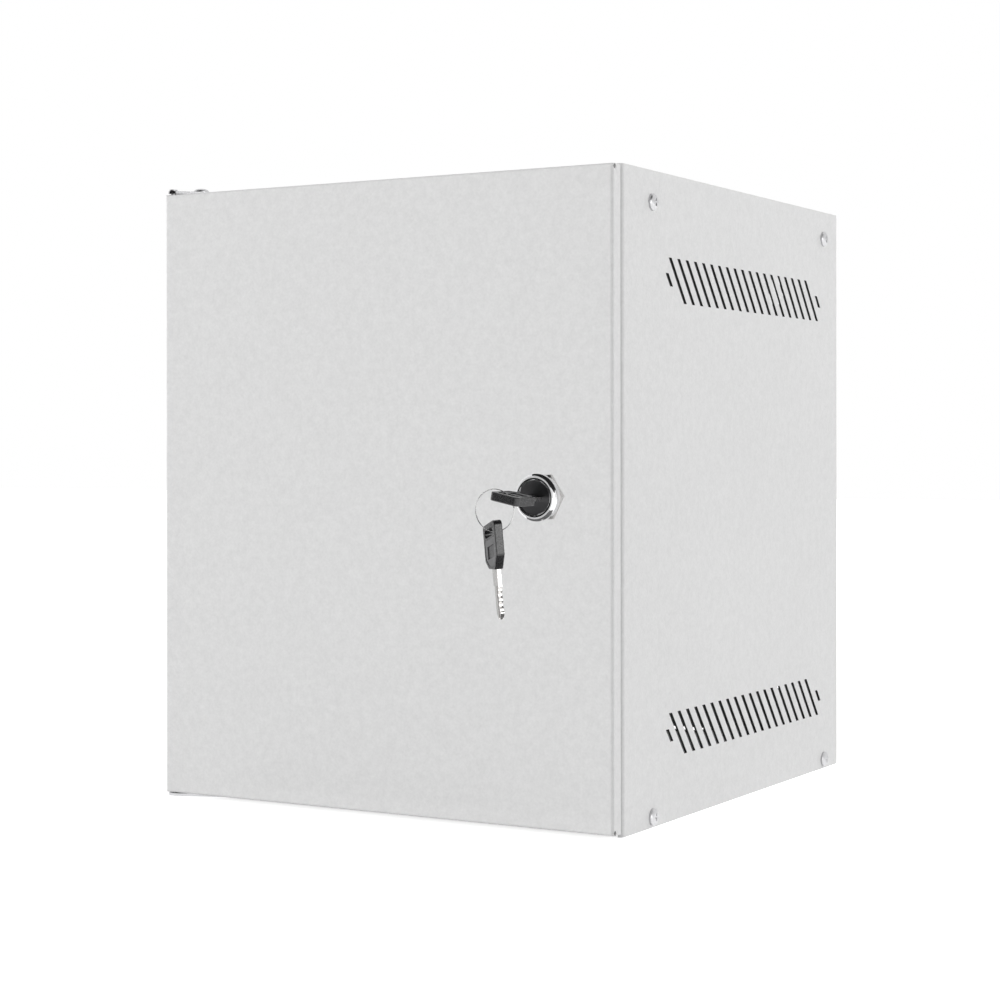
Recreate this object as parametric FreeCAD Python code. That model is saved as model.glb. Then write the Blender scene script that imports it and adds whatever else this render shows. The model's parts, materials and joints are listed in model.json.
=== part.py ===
import FreeCAD, Part
import math
import os

# Wall-mounted network cabinet for six units of 10-inch equipment.
#
# A flat-pack sheet-metal case with a hinged door, two rack rails and a cam lock
# with its keys. The origin is the centre of the four wall fixings, on the rear
# panel's outer skin. +Y points into the wall, +Z up, and the door faces -Y.
# Sizes are in mm and angles in degrees.

V = FreeCAD.Vector
X_AXIS = V(1, 0, 0)
Y_AXIS = V(0, 1, 0)
Z_AXIS = V(0, 0, 1)
TO_FRONT = V(0, -1, 0)
DOWN = V(0, 0, -1)

# -------------------------------------------------------------------- the case
rack_panel_width = 254.0       # 10-inch equipment
rack_side_margin = 13.0        # equipment's edge to the cabinet's side
cabinet_height = 338.0
cabinet_depth = 310.0
sheet = 1.2                    # case sheet
bend_radius = 1.5              # inside radius of a case bend
relief = 1.0                   # slit beside a bend that ends at a corner
seat_gap = 0.05                # pieces of one body that slip into each other
through = 1.0                  # a cutter's run past the face it leaves
drill_reach = 4.0              # a drill's run to each side of its point

# side panels
front_flange = 12.4
rear_flange = 18.0
flange_notch = 3.6             # the hinge brackets pass above and below it
side_screw_front = 35.0        # from the case front
side_screw_rear = 24.5         # from the wall
side_screw_drop = 16.0         # below a cover's face

# slanted vents
vent_pitch = 10.5
vent_long_count = 19
vent_width = 3.7               # along the row
vent_height = 23.3
vent_short_height = 6.7
vent_lean = 19.0               # a long vent's lean over its height
vent_row_setback = 160.5       # middle of a row from the case front
vent_row_drop = 55.0           # middle of the upper row below the top
vent_row_rise = 45.0           # middle of the lower row above the foot

# covers: the top and the bottom are one pressing
cover_inset = 0.4              # top cover below the side panels' top edges
cover_rear_gap = 0.2
cover_skirt = 19.7
cover_lip = 15.0
floor_rise = 21.5              # floor's upper face above the foot
cable_slot_width = 150.0
cable_slot_depth = 38.0
cable_slot_from_wall = 24.0
cable_slot_corner = 6.0
trim_lap = 2.4
trim_wall = 1.1

# rear panel and wall fixings
rear_tab = 16.0
rear_tab_gap = 0.1
rear_screw_x = 105.0
wall_fix_x = 200.0             # spacing
wall_fix_z = 240.0
keyhole_entry_r = 5.0
keyhole_slot_r = 2.75
keyhole_rise = 11.0
rear_slot_height = 34.0
rear_slot_rise = 20.0          # above the floor

# rack rails
unit_height = 44.45
unit_count = 6
hole_inset = 8.7375            # hole centre from the equipment's edge
rail_inset = 16.0              # rail's inner edge from the equipment's edge
hole_size = 9.5
first_hole_rise = 6.35         # within its unit
hole_pitch = 15.875
holes_per_unit = 3
rail_sheet = 1.5
rail_bend = 1.5
rail_face = 17.4
rail_web = 24.0
rail_setback = 35.0            # from the case front
rail_tab = 16.4
rail_tab_run = 18.0
stud_r = 2.5
stud_length = 9.0
stud_hole_gap = 0.3
earth_stud_setback = 22.0      # in front of the floor's cable slot

# fasteners
screw_r = 2.0
screw_hole_r = 2.2
screw_length = 7.0
screw_head_r = 4.4
screw_head_h = 2.3
screw_head_edge = 0.9
screw_flat_r = 1.4
screw_bulge = 0.5
countersink_r = 3.7
cross_span = 4.4
cross_width = 0.9
cross_depth = 1.2
cross_point_r = 0.3
press_nut_r = 3.6
press_nut_h = 2.6
stud_nut_flats = 8.0
stud_nut_h = 4.0
washer_r = 5.0
washer_h = 1.0
thread_gap = 0.05

# door
door_sheet = 1.0
door_bend = 0.6
door_return = 8.7              # depth of the door pan
door_gap = 1.8                 # door pan to the case front
door_under = 2.2               # door bottom above the case foot
door_over = 0.9                # door top below the case top
corner_hole_r = 1.2            # relief hole where two door returns meet
corner_hole_depth = 2.3        # its centre behind the door's face
corner_hole_inset = 1.4        # and in from the door's edge
buffer_r = 4.0
buffer_gap = 0.4               # to the closed door's inner skin
buffer_z = 118.0
buffer_inset = 6.6             # from the case's right side

# hinges
hinge_pin_r = 1.5
hinge_pin_from_side = 3.4
hinge_pin_from_face = 3.1
hinge_running = 0.06
hinge_plate = 1.5
hinge_plate_width = 15.0
hinge_plate_reach = 31.0       # behind the case front
hinge_plate_gap = 0.4          # to the side panel's bend
hinge_plate_round = 2.5
hinge_nose_half = 2.9          # pin to each side of the nose
hinge_nose_front = 2.6         # pin to the nose's front edge
hinge_nose_round = 2.5
hinge_neck_round = 1.0
hinge_neck_rise = 1.5          # the neck starts this far behind the pin
hinge_neck_end = 0.6           # and ends this far ahead of the case front
hinge_upper_shoulder = 3.5     # plate's right front corner behind the case front
hinge_lower_shoulder = 1.5
hinge_screw_x = 11.5           # from the case side
hinge_screw_pitch = 17.5
hinge_nut_gap = 0.1            # upper nuts to the cover's bend
hinge_lip_gap = 0.5            # lower plate to the end of the cover's lip
lower_screw_pitch = 17.0
pin_head_r = 2.3
pin_head_h = 0.9
pin_engagement = 7.0
hinge_block_width = 15.0
hinge_block_depth = 6.6
hinge_block_height = 5.0

# cam lock
lock_from_side = 40.0          # from the case's right side
lock_rise = 0.65               # above the middle of the door
collar_flats = 22.4
collar_h = 3.0
collar_turn = 3.0
collar_chamfer = 1.0
collar_face_inset = 0.2        # turned front face inside the flats
bezel_r = 12.0
bezel_rim = 1.0
bezel_h = 5.4
bezel_bulge = 0.5
bezel_lip = 0.9                # flat ring round the mouth
bezel_mouth_r = 9.0
barrel_r = 9.0
barrel_reach = 11.2            # behind the door's inner skin
lock_nut_h = 3.5
plug_gap = 0.08
plug_face_r = 8.9
plug_face_h = 1.4
plug_face_edge = 0.3
plug_sink = 0.4                # plug face behind the bezel's front
plug_r = 6.5
plug_overhang = 0.2            # stem behind the barrel
cam_plate = 2.0
cam_width = 15.0
cam_reach = 33.0
cam_head_corner = 0.1          # straight edge left between the cam's round corners
cam_tip_flat = 5.0             # straight edge at the cam's lower end
cam_square = 8.0
cam_square_start = 0.5         # the square runs this far into the stem
cam_square_end = 0.1           # and this far past the cam
cam_gap = 0.6                  # barrel to cam
cam_screw_r = 2.5
cam_screw_length = 3.2
cam_head_r = 4.6
cam_head_h = 2.4
cam_head_edge = 0.8

# keys
bow_width = 18.0
bow_length = 25.0
bow_thick = 4.4
bow_skew = 4.0                 # one side of the bow lies this far behind the other
bow_shoulder = 7.2             # neck to the longer side's shoulder
bow_neck_half = 4.6
bow_edge = 0.5
bow_neck_round = 0.8
bow_shoulder_round = 2.0
bow_end_round = 2.5
eye_r = 2.0
eye_side_rim = 2.4
eye_end_rim = 2.9
field_margin = 1.6             # sunken field to the bow's sides
field_depth = 0.35
field_from_eye = 0.8
field_from_neck = 1.4
field_neck_inset = 1.0
field_shoulder = 0.8           # its shoulders behind the bow's
field_round = 0.8
badge_width = 9.8
badge_height = 6.2
badge_depth = 0.4              # below the field
badge_from_neck = 8.7          # its middle
badge_round = 0.4
rib_count = 9                  # notches along each side of the field
rib_pitch = 1.0
rib_width = 0.5
rib_run = 0.9
rib_start = 0.9                # first notch from the field's end
blade_width = 5.8
blade_thick = 2.0
blade_length = 25.0
blade_tip = 3.0
blade_tip_slope = 2.2
blade_gap = 0.1
blade_in_bow = 6.0
blade_x = 1.2                  # blade's middle to the bow's middle
collar_length = 8.3            # plain shank that stops at the plug
collar_step = 1.2              # the shank is this much wider on its straight side
groove_depth = 0.5
groove_width = 1.2
groove_from_middle = 0.1
bit_pitch = 2.5
bit_start = 10.2
bit_flat = 0.5                 # half of a cut's flat bottom
bit_depths = (0.7, 1.5, 0.9, 1.4, 0.6)
key_stop = 0.3                 # shank's shoulder to the plug's face
key_roll = -10.0               # as the key was left in the lock

# key ring and spare key
ring_r = 10.5
ring_wire_r = 0.4
ring_yaw = 4.0
ring_pivot_drop = 3.4          # ring's crown above the rim that it hangs on
ring_along_bow = 18.1          # ring's plane from the bow's neck
spare_yaw = -41.0
spare_lean = 5.0
spare_lean_yaw = 30.5          # heading of the axis that it leans about
spare_hook_x = 3.0             # ring from the bow's middle
spare_rim_rise = 3.6           # middle of its rim above the ring's lowest wire

# ------------------------------------------------------------ worked-out places
half_width = rack_panel_width / 2 + rack_side_margin
side_inner_x = half_width - sheet
case_bend = bend_radius + sheet
foot_z = -cabinet_height / 2
top_z = cabinet_height / 2
rear_skin_y = 0.0
rear_inner_y = rear_skin_y - sheet
rear_tab_y = rear_inner_y - rear_tab / 2
wall_y = rear_skin_y + sheet
door_face_y = wall_y - cabinet_depth
door_inner_y = door_face_y + door_sheet
door_rear_y = door_face_y + door_return
front_y = door_rear_y + door_gap
side_screw_ys = (front_y + side_screw_front, wall_y - side_screw_rear)
cover_front_y = front_y + sheet
cover_rear_y = rear_skin_y - cover_rear_gap
cable_slot_y = wall_y - cable_slot_from_wall - cable_slot_depth / 2
ceiling_top_z = top_z - cover_inset
ceiling_z = ceiling_top_z - sheet
floor_z = foot_z + floor_rise
skirt_end_z = floor_z - cover_skirt
rear_slot_z = floor_z + rear_slot_rise + rear_slot_height / 2
rail_front_y = front_y + rail_setback
rail_rear_y = rail_front_y + rail_web
rail_inner_x = rack_panel_width / 2 - rail_inset
rail_outer_x = rail_inner_x + rail_face
rail_stud_x = rail_outer_x - rail_tab / 2
rail_stud_y = rail_rear_y - rail_tab_run / 2
hole_x = rack_panel_width / 2 - hole_inset
rack_low_z = (floor_z + ceiling_z - unit_height * unit_count) / 2
earth_stud_y = cable_slot_y - cable_slot_depth / 2 - earth_stud_setback
door_low_z = foot_z + door_under
door_high_z = top_z - door_over
door_corner_r = door_bend + door_sheet
pin_x = -half_width + hinge_pin_from_side
pin_y = door_face_y + hinge_pin_from_face
plate_left_x = -half_width + case_bend + hinge_plate_gap
lower_plate_z = skirt_end_z - hinge_plate
lock_x = half_width - lock_from_side
lock_z = (door_low_z + door_high_z) / 2 + lock_rise
barrel_rear_y = door_inner_y + barrel_reach
cam_front_y = barrel_rear_y + cam_gap
cam_rear_y = cam_front_y + cam_plate
plug_front_y = door_face_y - collar_h - bezel_h + plug_sink
key_stand_off = collar_length + key_stop
neck_y = plug_front_y - key_stand_off
bow_half = bow_width / 2
bow_end_y = bow_skew / 2 - bow_length
bow_shoulder_y = bow_skew / 2 - bow_shoulder
eye_y = bow_end_y + eye_end_rim + eye_r
eye_x = bow_half - eye_side_rim - eye_r
field_y = eye_y + eye_r + field_from_eye
blade_half = blade_width / 2


# -------------------------------------------------------------------- geometry
def box(x_low, x_high, y_low, y_high, z_low, z_high):
    return Part.makeBox(x_high - x_low, y_high - y_low, z_high - z_low, V(x_low, y_low, z_low))


def bar_along_y(x, z, half_x, half_z, y_low, y_high):
    """A rectangular bar about the line at (x, z)."""
    return box(x - half_x, x + half_x, y_low, y_high, z - half_z, z + half_z)


def cylinder(radius, length, base, axis=Z_AXIS):
    return Part.makeCylinder(radius, length, base, axis)


def drill(radius, point, axis):
    """The tool for a round hole in the sheet at a point."""
    return cylinder(radius, 2 * drill_reach, point - axis * drill_reach, axis)


def rounded_outline(corners):
    """A closed flat wire through corners of (point, radius), with an arc at each rounded one."""
    starts = []
    arcs = []
    ends = []
    for number, (corner, radius) in enumerate(corners):
        to_before = (corners[number - 1][0] - corner).normalize()
        to_after = (corners[(number + 1) % len(corners)][0] - corner).normalize()
        half_angle = to_before.getAngle(to_after) / 2
        setback = radius / math.tan(half_angle)
        starts.append(corner + to_before * setback)
        ends.append(corner + to_after * setback)
        if radius > 0:
            bisector = (to_before + to_after).normalize()
            middle = corner + bisector * (radius / math.sin(half_angle) - radius)
            arcs.append([Part.Arc(starts[-1], middle, ends[-1]).toShape()])
        else:
            arcs.append([])
    path = []
    for number, arc in enumerate(arcs):
        path += arc
        following = starts[(number + 1) % len(corners)]
        if ends[number].distanceToPoint(following) > 1e-6:
            path.append(Part.LineSegment(ends[number], following).toShape())
    return Part.Wire(path)


def prism(corners, direction):
    """Extrude a rounded outline."""
    return Part.Face(rounded_outline(corners)).extrude(direction)


def plate(points, radius, direction):
    """Extrude an outline whose corners are all rounded alike."""
    return prism([(point, radius) for point in points], direction)


def sheet_corners(skin, thickness, inner_radius):
    """Corners of a folded sheet's section: along the skin, and back along the face on its left."""
    outer_radius = inner_radius + thickness
    normals = []
    for (u0, v0), (u1, v1) in zip(skin, skin[1:]):
        length = math.hypot(u1 - u0, v1 - v0)
        normals.append(((v0 - v1) / length, (u1 - u0) / length))
    near = []
    far = []
    for number, (u, v) in enumerate(skin):
        n0, m0 = normals[max(number - 1, 0)]
        n1, m1 = normals[min(number, len(normals) - 1)]
        reach = thickness / (1 + n0 * n1 + m0 * m1)
        radii = (inner_radius, outer_radius)
        if n0 * m1 > m0 * n1:
            radii = (outer_radius, inner_radius)
        if number in (0, len(skin) - 1):
            radii = (0.0, 0.0)
        near.append(((u, v), radii[0]))
        far.append(((u + (n0 + n1) * reach, v + (m0 + m1) * reach), radii[1]))
    return near + far[::-1]


def folded_sheet(skin, thickness, inner_radius, place, run):
    """A folded strip: its section, put in space by place(u, v), extruded along run."""
    corners = sheet_corners(skin, thickness, inner_radius)
    return prism([(place(u, v), radius) for (u, v), radius in corners], run)


def slot_cutter(width, height, radius, place, run):
    """A rounded rectangle about (0, 0) of place(u, v), extruded along run."""
    half_u, half_v = width / 2, height / 2
    corners = [(-half_u, -half_v), (half_u, -half_v), (half_u, half_v), (-half_u, half_v)]
    return plate([place(u, v) for u, v in corners], radius, run)


def mirrored(shape):
    """The same piece for the other side of the cabinet."""
    return shape.mirror(V(0, 0, 0), X_AXIS)


def hexagon(flats, height, turn=0.0):
    """A hexagonal prism along +Z."""
    radius = flats / math.sqrt(3)
    angles = [math.radians(60 * number + turn) for number in range(6)]
    corners = [V(radius * math.cos(angle), radius * math.sin(angle), 0) for angle in angles]
    return plate(corners, 0.0, V(0, 0, height))


def turned(outline):
    """Turn an outline of (radius, height, bulge) points about +Z.

    A bulge bows the side that follows its point outward.
    """
    points = [V(radius, 0, height) for radius, height, bulge in outline]
    sides = []
    for number, point in enumerate(points):
        following = points[(number + 1) % len(points)]
        bulge = outline[number][2]
        if bulge > 0:
            along = (following - point).normalize()
            middle = (point + following) * 0.5 + V(along.z, 0, -along.x) * bulge
            sides.append(Part.Arc(point, middle, following).toShape())
        else:
            sides.append(Part.LineSegment(point, following).toShape())
    return Part.Face(Part.Wire(sides)).revolve(V(0, 0, 0), Z_AXIS, 360)


def oriented(shape, base, axis):
    """Turn a shape that was drawn along +Z to the axis and put its origin at base."""
    placed = shape.copy()
    placed.Placement = FreeCAD.Placement(base, FreeCAD.Rotation(Z_AXIS, axis))
    return placed


def save(node, shapes):
    """Write one named node: a single solid, or separate solids side by side."""
    shapes = shapes if isinstance(shapes, list) else [shapes]
    solids = [solid for shape in shapes for solid in shape.removeSplitter().Solids]
    shape = solids[0] if len(solids) == 1 else Part.makeCompound(solids)
    shape.exportStep("parts/%s.step" % node)


# ------------------------------------------------------------------- fasteners
def cross_recess(mouth_z):
    """The tool for a cross drive in a head that faces +Z."""
    half = cross_span / 2
    bit = turned([(0, -cross_depth, 0), (cross_point_r, -cross_depth, 0), (half, 0, 0),
                  (half, through, 0), (0, through, 0)])
    long_arm = box(-half, half, -cross_width / 2, cross_width / 2, -cross_depth, through)
    other_arm = box(-cross_width / 2, cross_width / 2, -half, half, -cross_depth, through)
    recess = long_arm.fuse(other_arm).common(bit)
    recess.translate(V(0, 0, mouth_z))
    return recess


def pan_screw(base, axis):
    """A cross-recess pan-head screw: base is under the head, which stands out along axis."""
    head = turned([(0, 0, 0), (screw_head_r, 0, 0), (screw_head_r, screw_head_edge, screw_bulge),
                   (screw_flat_r, screw_head_h, 0), (0, screw_head_h, 0)])
    shank = cylinder(screw_r, screw_length, V(0, 0, -screw_length))
    return oriented(head.fuse(shank).cut(cross_recess(screw_head_h)), base, axis)


def countersink(axis, base):
    """The cone of a flush screw's head, widest at base."""
    height = countersink_r - screw_r
    return oriented(Part.makeCone(screw_r, countersink_r, height, V(0, 0, -height)), base, axis)


def countersunk_screw(base, axis):
    """A flush cross-recess screw: base is on the outer face, which the head faces along axis."""
    shank = cylinder(screw_r, screw_length, V(0, 0, -screw_length))
    solid = countersink(Z_AXIS, V(0, 0, 0)).fuse(shank).cut(cross_recess(0.0))
    return oriented(solid, base, axis)


def press_nut(base, axis):
    """A press nut: base is on the sheet's inner face, and the nut stands along axis."""
    body = cylinder(press_nut_r, press_nut_h, V(0, 0, 0))
    bore = cylinder(screw_r + thread_gap, press_nut_h, V(0, 0, 0))
    return oriented(body.cut(bore), base, axis)


def stud_nut(base, axis):
    """A hexagon nut with its washer, as one flanged nut."""
    body = hexagon(stud_nut_flats, washer_h + stud_nut_h)
    body = body.fuse(cylinder(washer_r, washer_h, V(0, 0, 0)))
    bore = cylinder(stud_r + thread_gap, stud_nut_h + washer_h, V(0, 0, 0))
    return oriented(body.cut(bore), base, axis)


# ------------------------------------------------------------------- the case
def side_screw_places():
    """(y, z) of the four screws in a side panel."""
    return [(y, z - side_screw_drop) for y in side_screw_ys for z in (ceiling_top_z, floor_z)]


def vent_cutters():
    """Two rows of leaning slots, each row ending in a short slot at mid-height."""
    cutters = []
    slope = vent_lean / vent_height
    row_middle = (vent_long_count + 1) / 2
    for row_z in (top_z - vent_row_drop, foot_z + vent_row_rise):
        for number in range(vent_long_count + 2):
            at_end = number in (0, vent_long_count + 1)
            half = (vent_short_height if at_end else vent_height) / 2
            middle = front_y + vent_row_setback + (number - row_middle) * vent_pitch
            corners = []
            for side, rise in ((-1, half), (1, half), (1, -half), (-1, -half)):
                y = middle + side * vent_width / 2 - rise * slope
                corners.append(V(side_inner_x - through, y, row_z + rise))
            cutters.append(plate(corners, 0.0, V(sheet + 2 * through, 0, 0)))
    return cutters


def right_side_panel():
    """A wall with an inward flange at the front and at the wall."""
    flange_x = half_width - front_flange
    skin = [(flange_x, front_y), (half_width, front_y),
            (half_width, wall_y), (half_width - rear_flange, wall_y)]
    panel = folded_sheet(skin, sheet, bend_radius,
                         lambda u, v: V(u, v, foot_z), V(0, 0, cabinet_height))
    cutters = vent_cutters()
    for low, high in ((foot_z, foot_z + flange_notch), (top_z - flange_notch, top_z)):
        cutters.append(box(flange_x - through, half_width - case_bend,
                           front_y - through, front_y + case_bend, low, high))
    for y, z in side_screw_places():
        cutters.append(drill(screw_hole_r, V(half_width, y, z), X_AXIS))
    return panel.cut(cutters)


def cover_panel(face_z):
    """The pressing used as top and as floor, folded down at both sides and at the front."""
    flat_x = side_inner_x - case_bend
    flat_y = cover_front_y + case_bend
    low_z = face_z - cover_skirt
    flat = box(-flat_x, flat_x, flat_y, cover_rear_y, face_z - sheet, face_z)
    skirt = [(flat_x, face_z), (side_inner_x, face_z), (side_inner_x, low_z)]
    skirt = folded_sheet(skirt[::-1], sheet, bend_radius, lambda u, v: V(u, flat_y + relief, v),
                         V(0, rear_inner_y - through - flat_y - relief, 0))
    front = [(flat_y, face_z), (cover_front_y, face_z), (cover_front_y, low_z),
             (cover_front_y + cover_lip, low_z)]
    front = folded_sheet(front, sheet, bend_radius, lambda u, v: V(-flat_x, u, v),
                         V(2 * flat_x, 0, 0))
    return flat.fuse([skirt, mirrored(skirt), front]).cut(cover_cutters(face_z))


def cover_cutters(face_z):
    """The holes that the top and the floor share."""
    cutters = [slot_cutter(cable_slot_width, cable_slot_depth, cable_slot_corner,
                           lambda u, v: V(u, cable_slot_y + v, face_z - sheet - through),
                           V(0, 0, sheet + 2 * through))]
    for side in (-1, 1):
        for y in side_screw_ys:
            place = V(side * side_inner_x, y, face_z - side_screw_drop)
            cutters.append(drill(screw_hole_r, place, X_AXIS))
        stud_place = V(side * rail_stud_x, rail_stud_y, face_z)
        cutters.append(drill(stud_r + thread_gap, stud_place, Z_AXIS))
        cutters.append(drill(screw_hole_r, V(side * rear_screw_x, rear_tab_y, face_z), Z_AXIS))
    return cutters


def top_panel():
    holes = [drill(screw_hole_r, V(x, y, ceiling_z), Z_AXIS) for x, y in upper_screw_places()]
    return cover_panel(ceiling_top_z).cut(holes)


def bottom_panel():
    holes = [drill(screw_hole_r, V(x, y, skirt_end_z), Z_AXIS) for x, y in lower_screw_places()]
    holes.append(drill(stud_r + thread_gap, V(0, earth_stud_y, floor_z), Z_AXIS))
    return cover_panel(floor_z).cut(holes)


def keyhole_cutter(x, z):
    """A round entry with a narrow slot above it."""
    entry = drill(keyhole_entry_r, V(x, rear_skin_y, z), Y_AXIS)
    end = drill(keyhole_slot_r, V(x, rear_skin_y, z + keyhole_rise), Y_AXIS)
    slot = bar_along_y(x, z + keyhole_rise / 2, keyhole_slot_r, keyhole_rise / 2,
                       rear_skin_y - drill_reach, rear_skin_y + drill_reach)
    return entry.fuse([slot, end])


def rear_panel():
    """The back, folded forward under the ceiling and over the floor."""
    tab_end_y = rear_inner_y - rear_tab
    skin = [(tab_end_y, floor_z), (rear_skin_y, floor_z), (rear_skin_y, ceiling_z), (tab_end_y, ceiling_z)]
    half = side_inner_x - case_bend - rear_tab_gap
    panel = folded_sheet(skin, sheet, bend_radius, lambda u, v: V(-half, u, v), V(2 * half, 0, 0))
    cutters = [slot_cutter(cable_slot_width, rear_slot_height, cable_slot_corner,
                           lambda u, v: V(u, rear_inner_y - through, rear_slot_z + v),
                           V(0, sheet + 2 * through, 0))]
    for side in (-1, 1):
        for z in (-wall_fix_z / 2, wall_fix_z / 2):
            cutters.append(keyhole_cutter(side * wall_fix_x / 2, z))
        for z in (floor_z, ceiling_z):
            cutters.append(drill(screw_hole_r, V(side * rear_screw_x, rear_tab_y, z), Z_AXIS))
    return panel.cut(cutters)


# ------------------------------------------------------------------ rack rails
def right_rail():
    """An angle with square holes in its face and a tab at each end."""
    skin = [(rail_inner_x, rail_front_y), (rail_outer_x, rail_front_y), (rail_outer_x, rail_rear_y)]
    rail = folded_sheet(skin, rail_sheet, rail_bend,
                        lambda u, v: V(u, v, floor_z), V(0, 0, ceiling_z - floor_z))
    bend = rail_bend + rail_sheet
    tab_y = rail_rear_y - rail_tab_run
    tab_x = rail_outer_x - rail_tab
    corners = [box(rail_inner_x - through, rail_outer_x + through,
                   tab_y - relief, rail_rear_y + through, low, low + bend)
               for low in (floor_z, ceiling_z - bend)]
    lower = [(tab_x, floor_z), (rail_outer_x, floor_z), (rail_outer_x, floor_z + bend)]
    upper = [(rail_outer_x, ceiling_z - bend), (rail_outer_x, ceiling_z), (tab_x, ceiling_z)]
    tabs = [folded_sheet(tab, rail_sheet, rail_bend, lambda u, v: V(u, tab_y, v), V(0, rail_tab_run, 0))
            for tab in (lower, upper)]
    return rail.cut(corners).fuse(tabs).cut(rail_cutters())


def rail_cutters():
    """Square holes, three to a unit, and a stud hole in each tab."""
    half = hole_size / 2
    cutters = [drill(stud_r + stud_hole_gap, V(rail_stud_x, rail_stud_y, z), Z_AXIS)
               for z in (floor_z, ceiling_z)]
    for unit in range(unit_count):
        for number in range(holes_per_unit):
            z = rack_low_z + unit * unit_height + first_hole_rise + number * hole_pitch
            cutters.append(bar_along_y(hole_x, z, half, half, rail_front_y - through,
                                       rail_front_y + rail_sheet + through))
    return cutters


def rail_studs():
    """Studs pressed into the floor and the ceiling, flush outside."""
    studs = []
    for x in (-rail_stud_x, rail_stud_x):
        studs.append(cylinder(stud_r, sheet + stud_length, V(x, rail_stud_y, floor_z - sheet)))
        studs.append(cylinder(stud_r, sheet + stud_length, V(x, rail_stud_y, ceiling_top_z), DOWN))
    return studs


def rail_nuts():
    nuts = []
    for x in (-rail_stud_x, rail_stud_x):
        nuts.append(stud_nut(V(x, rail_stud_y, floor_z + rail_sheet), Z_AXIS))
        nuts.append(stud_nut(V(x, rail_stud_y, ceiling_z - rail_sheet), DOWN))
    return nuts


def earth_stud():
    return cylinder(stud_r, sheet + stud_length, V(0, earth_stud_y, floor_z - sheet))


def earth_nut():
    return stud_nut(V(0, earth_stud_y, floor_z), Z_AXIS)


# ----------------------------------------------------------- screws of the case
def side_screws(side):
    """Pan heads outside one side panel: side is -1 at the left and 1 at the right."""
    return [pan_screw(V(side * half_width, y, z), X_AXIS * side) for y, z in side_screw_places()]


def side_nuts():
    x = side_inner_x - sheet
    return [press_nut(V(side * x, y, z), X_AXIS * -side)
            for side in (-1, 1) for y, z in side_screw_places()]


def rear_screws():
    """Screws from above and from below into the rear panel's tabs."""
    screws = []
    for x in (-rear_screw_x, rear_screw_x):
        screws.append(pan_screw(V(x, rear_tab_y, ceiling_top_z), Z_AXIS))
        screws.append(pan_screw(V(x, rear_tab_y, floor_z - sheet), DOWN))
    return screws


def rear_nuts():
    nuts = []
    for x in (-rear_screw_x, rear_screw_x):
        nuts.append(press_nut(V(x, rear_tab_y, ceiling_z - sheet), DOWN))
        nuts.append(press_nut(V(x, rear_tab_y, floor_z + sheet), Z_AXIS))
    return nuts


# ------------------------------------------------------------------ cable trims
def edge_trim(height, place, normal):
    """A soft channel pressed over the edge of a cable slot; place(u, v) lies on the outer skin."""
    layers = []
    for start, depth, lap in ((-trim_wall, trim_wall, trim_lap), (0.0, sheet, 0.0),
                              (sheet, trim_wall, trim_lap)):
        lift = normal * -start
        layers.append(slot_cutter(cable_slot_width + 2 * lap, height + 2 * lap,
                                  cable_slot_corner + lap,
                                  lambda u, v: place(u, v) + lift, normal * -depth))
    hole = slot_cutter(cable_slot_width - 2 * trim_wall, height - 2 * trim_wall,
                       cable_slot_corner - trim_wall,
                       lambda u, v: place(u, v) + normal * (trim_wall + through),
                       normal * -(sheet + 2 * trim_wall + 2 * through))
    return layers[0].fuse(layers[1:]).cut(hole)


def cover_trim(face_z):
    return edge_trim(cable_slot_depth, lambda u, v: V(u, cable_slot_y + v, face_z), Z_AXIS)


def rear_trim():
    return edge_trim(rear_slot_height, lambda u, v: V(u, rear_skin_y, rear_slot_z + v), Y_AXIS)


# ---------------------------------------------------------------------- hinges
def upper_screw_places():
    """(x, y) of the upper bracket's screws, whose nuts clear the top's front bend."""
    x = -half_width + hinge_screw_x
    first = cover_front_y + case_bend + press_nut_r + hinge_nut_gap
    return [(x, first), (x, first + hinge_screw_pitch)]


def lower_screw_places():
    """(x, y) of the lower bracket's screws, in the lip under the floor's front."""
    x = -half_width + hinge_screw_x
    y = cover_front_y + cover_lip / 2 + hinge_lip_gap
    return [(x, y), (x + lower_screw_pitch, y)]


def hinge_bracket(z, right, shoulder_y, rear_y):
    """A flat plate at z with a nose that reaches out over the door's corner."""
    nose_y = pin_y - hinge_nose_front
    corners = [(right, shoulder_y, hinge_plate_round), (right, rear_y, hinge_plate_round),
               (plate_left_x, rear_y, hinge_plate_round),
               (plate_left_x, front_y - hinge_neck_end, hinge_neck_round),
               (pin_x - hinge_nose_half, pin_y + hinge_neck_rise, hinge_neck_round),
               (pin_x - hinge_nose_half, nose_y, hinge_nose_round),
               (pin_x + hinge_nose_half, nose_y, hinge_nose_round)]
    bracket = prism([(V(x, y, z), radius) for x, y, radius in corners], V(0, 0, hinge_plate))
    return bracket.cut(drill(hinge_pin_r + seat_gap, V(pin_x, pin_y, z), Z_AXIS))


def upper_hinge_bracket():
    bracket = hinge_bracket(ceiling_top_z, plate_left_x + hinge_plate_width,
                            front_y + hinge_upper_shoulder, front_y + hinge_plate_reach)
    return bracket.cut([drill(screw_hole_r, V(x, y, ceiling_top_z), Z_AXIS)
                        for x, y in upper_screw_places()])


def lower_hinge_bracket():
    """The same idea under the floor's lip, with flush screws."""
    bracket = hinge_bracket(lower_plate_z, plate_left_x + hinge_plate_width + lower_screw_pitch,
                            front_y + hinge_lower_shoulder, cover_front_y + cover_lip - hinge_lip_gap)
    places = [V(x, y, lower_plate_z) for x, y in lower_screw_places()]
    holes = [drill(screw_hole_r, place, Z_AXIS) for place in places]
    return bracket.cut(holes + [countersink(DOWN, place) for place in places])


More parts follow.
